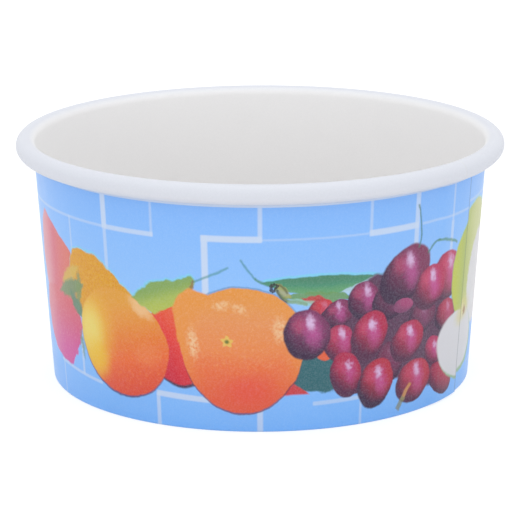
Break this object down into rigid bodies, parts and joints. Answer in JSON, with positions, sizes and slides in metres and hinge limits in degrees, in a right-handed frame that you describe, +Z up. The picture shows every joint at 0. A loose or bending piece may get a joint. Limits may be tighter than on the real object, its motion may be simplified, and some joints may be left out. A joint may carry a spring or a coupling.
{
  "type": "paper dessert cup",
  "caption": "Low, wide paper cup for a single dessert, with a rolled rim, a lapped side seam, a folded foot and a recessed floor.",
  "frame": {"origin": "centre of the foot, on the surface that the cup stands on", "axes": "+Z up along the cup's axis; -Y towards the front of the print, with the side seam at 64 degrees to the right of it"},
  "size_m": [0.096, 0.096, 0.0485],
  "materials": {
    "printed_board": "semi-gloss printed paperboard, white inside and on the rim",
    "white_board": "uncoated-looking white paperboard with a thin satin film"
  },
  "bodies": {
    "root": {"side_wall": "printed_board", "base_disc": "white_board"}
  },
  "joints": []
}
